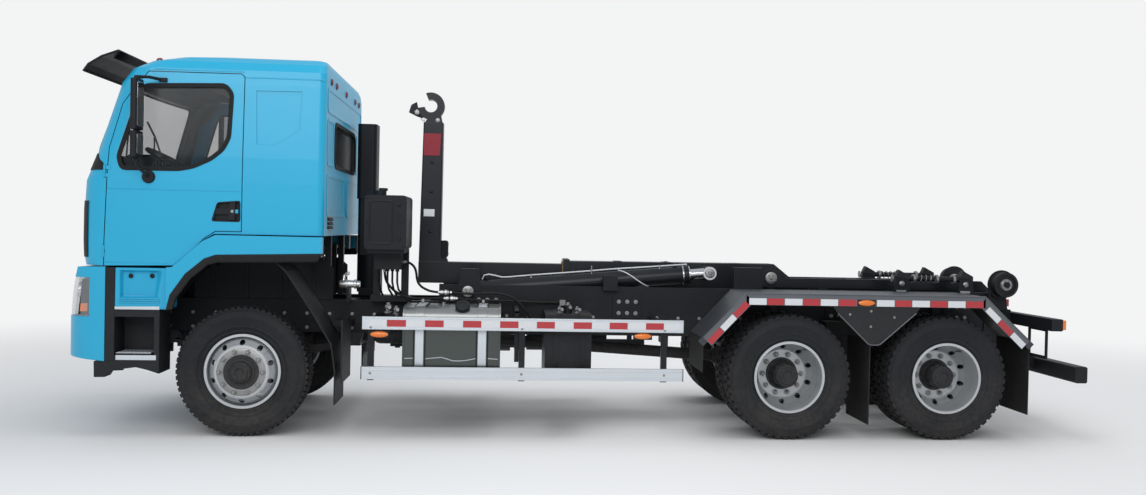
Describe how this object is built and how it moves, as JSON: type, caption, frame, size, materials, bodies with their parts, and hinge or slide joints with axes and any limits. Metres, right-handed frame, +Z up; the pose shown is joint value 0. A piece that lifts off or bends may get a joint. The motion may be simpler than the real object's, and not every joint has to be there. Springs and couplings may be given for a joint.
{
  "type": "hook-lift refuse truck",
  "caption": "Three-axle cab-over refuse truck with a hook-lift arm that pulls a container onto its frame; wheels, steering, doors, cab and arm move.",
  "frame": {"origin": "on the ground below the middle of the overall length and width", "axes": "the truck faces -X, its left side is at -Y, +Z is up"},
  "size_m": [8.4, 2.854, 3.0493],
  "materials": {
    "cab_paint": "gloss",
    "chassis_paint": "satin",
    "black_plastic": "matte",
    "rubber": "matte",
    "tyre": "matte",
    "rim_paint": "satin",
    "aluminium": "brushed",
    "cast_iron": "matte",
    "glass": "clear",
    "lamp": "gloss",
    "head_lamp": "gloss",
    "chrome": "polished",
    "seat_cloth": "woven",
    "mudguard": "matte"
  },
  "bodies": {
    "chassis": {"chassis_frame": "chassis_paint", "subframe": "chassis_paint", "front_bumper": "cab_paint", "headlamps": "head_lamp", "step_boxes": "cab_paint", "entry_steps": "black_plastic", "wheel_arches": "cab_paint", "front_mudguards": "rubber", "engine_block": "cast_iron", "air_intake": "black_plastic", "hydraulic_tank": "chassis_paint", "fuel_tank": "aluminium", "side_tanks": "chassis_paint", "side_guards": "aluminium", "front_axle": "cast_iron", "rear_axles": "cast_iron", "leaf_springs": "chassis_paint", "rear_mudguards": "mudguard", "rear_flaps": "rubber", "rear_bars": "chassis_paint", "tail_lamps": "lamp"},
    "knuckle_right": {"knuckle_right": "cast_iron"},
    "front_wheel_right": {"front_rim_right": "rim_paint", "front_tyre_right": "tyre"},
    "rear_wheel_1_right": {"rear_rims_1_right": "rim_paint", "rear_tyres_1_right": "tyre"},
    "rear_wheel_2_right": {"rear_rims_2_right": "rim_paint", "rear_tyres_2_right": "tyre"},
    "roller_right": {"roller_right": "cast_iron"},
    "door_right": {"door_right": "cab_paint", "door_glass_right": "glass", "mirror_right": "black_plastic"},
    "knuckle_left": {"knuckle_left": "cast_iron"},
    "front_wheel_left": {"front_rim_left": "rim_paint", "front_tyre_left": "tyre"},
    "rear_wheel_1_left": {"rear_rims_1_left": "rim_paint", "rear_tyres_1_left": "tyre"},
    "rear_wheel_2_left": {"rear_rims_2_left": "rim_paint", "rear_tyres_2_left": "tyre"},
    "roller_left": {"roller_left": "cast_iron"},
    "door_left": {"door_left": "cab_paint", "door_glass_left": "glass", "mirror_left": "black_plastic"},
    "cab": {"cab_shell": "cab_paint", "cab_glass": "glass", "cab_trim": "black_plastic", "sun_visor": "black_plastic", "cab_tilt_arms": "chassis_paint", "dashboard": "black_plastic", "seats": "seat_cloth"},
    "tip_frame": {"tipping_frame": "chassis_paint"},
    "boom": {"boom": "chassis_paint"},
    "jib": {"hook_arm": "chassis_paint", "hook_latch": "chassis_paint"},
    "cylinder_barrels": {"cylinder_barrels": "chassis_paint", "cylinder_pins": "cast_iron"},
    "cylinder_stages": {"cylinder_stages": "chrome"},
    "cylinder_rods": {"cylinder_rods": "chrome"}
  },
  "joints": [
    {"name": "steer_left", "type": "hinge", "parent": "chassis", "child": "knuckle_left", "pos_m": [-2.84, -0.85, 0.52], "axis": [0, 0, 1], "range_deg": [-38, 38]},
    {"name": "spin_front_left", "type": "hinge", "parent": "knuckle_left", "child": "front_wheel_left", "pos_m": [-2.84, -1.005, 0.52], "axis": [0, 1, 0], "continuous": true},
    {"name": "spin_rear_1_left", "type": "hinge", "parent": "chassis", "child": "rear_wheel_1_left", "pos_m": [1.585, -0.935, 0.52], "axis": [0, 1, 0], "continuous": true},
    {"name": "spin_rear_2_left", "type": "hinge", "parent": "chassis", "child": "rear_wheel_2_left", "pos_m": [2.935, -0.935, 0.52], "axis": [0, 1, 0], "continuous": true},
    {"name": "roll_left", "type": "hinge", "parent": "chassis", "child": "roller_left", "pos_m": [3.718, -0.575, 1.289], "axis": [0, 1, 0], "continuous": true},
    {"name": "door_left_hinge", "type": "hinge", "parent": "cab", "child": "door_left", "pos_m": [-3.886, -1.21, 1.9], "axis": [0, 0, 1], "range_deg": [-70, 0]},
    {"name": "steer_right", "type": "hinge", "parent": "chassis", "child": "knuckle_right", "pos_m": [-2.84, 0.85, 0.52], "axis": [0, 0, 1], "range_deg": [-38, 38]},
    {"name": "spin_front_right", "type": "hinge", "parent": "knuckle_right", "child": "front_wheel_right", "pos_m": [-2.84, 1.005, 0.52], "axis": [0, 1, 0], "continuous": true},
    {"name": "spin_rear_1_right", "type": "hinge", "parent": "chassis", "child": "rear_wheel_1_right", "pos_m": [1.585, 0.935, 0.52], "axis": [0, 1, 0], "continuous": true},
    {"name": "spin_rear_2_right", "type": "hinge", "parent": "chassis", "child": "rear_wheel_2_right", "pos_m": [2.935, 0.935, 0.52], "axis": [0, 1, 0], "continuous": true},
    {"name": "roll_right", "type": "hinge", "parent": "chassis", "child": "roller_right", "pos_m": [3.718, 0.575, 1.289], "axis": [0, 1, 0], "continuous": true},
    {"name": "door_right_hinge", "type": "hinge", "parent": "cab", "child": "door_right", "pos_m": [-3.886, 1.21, 1.9], "axis": [0, 0, -1], "range_deg": [-70, 0]},
    {"name": "cab_tilt", "type": "hinge", "parent": "chassis", "child": "cab", "pos_m": [-3.99, 0, 0.7], "axis": [0, -1, 0], "range_deg": [0, 50]},
    {"name": "tip", "type": "hinge", "parent": "chassis", "child": "tip_frame", "pos_m": [3.745, 0, 1.144], "axis": [0, 1, 0], "range_deg": [0, 50]},
    {"name": "boom_lift", "type": "hinge", "parent": "tip_frame", "child": "boom", "pos_m": [1.666, 0, 1.298], "axis": [0, -1, 0], "range_deg": [-150, 0]},
    {"name": "jib_slide", "type": "slide", "parent": "boom", "child": "jib", "axis": [1, 0, 0], "range_m": [0, 1]},
    {"name": "barrels_turn", "type": "hinge", "parent": "chassis", "child": "cylinder_barrels", "pos_m": [-1.09, 0, 1.146], "axis": [0, -1, 0], "range_deg": [0, 28.68]},
    {"name": "stages_slide", "type": "slide", "parent": "cylinder_barrels", "child": "cylinder_stages", "axis": [0.9962, 0, 0.0873], "range_m": [0, 1.156]},
    {"name": "rods_slide", "type": "slide", "parent": "cylinder_stages", "child": "cylinder_rods", "axis": [0.9962, 0, 0.0873], "range_m": [0, 1.753]}
  ],
  "couplings": [
    {"joint": "steer_right", "follows": "steer_left", "ratio": 1},
    {"joint": "barrels_turn", "follows": "tip", "ratio": 0.5734},
    {"joint": "stages_slide", "follows": "boom_lift", "m_per_rad": -0.44102},
    {"joint": "rods_slide", "follows": "tip", "m_per_rad": 2.0078}
  ]
}
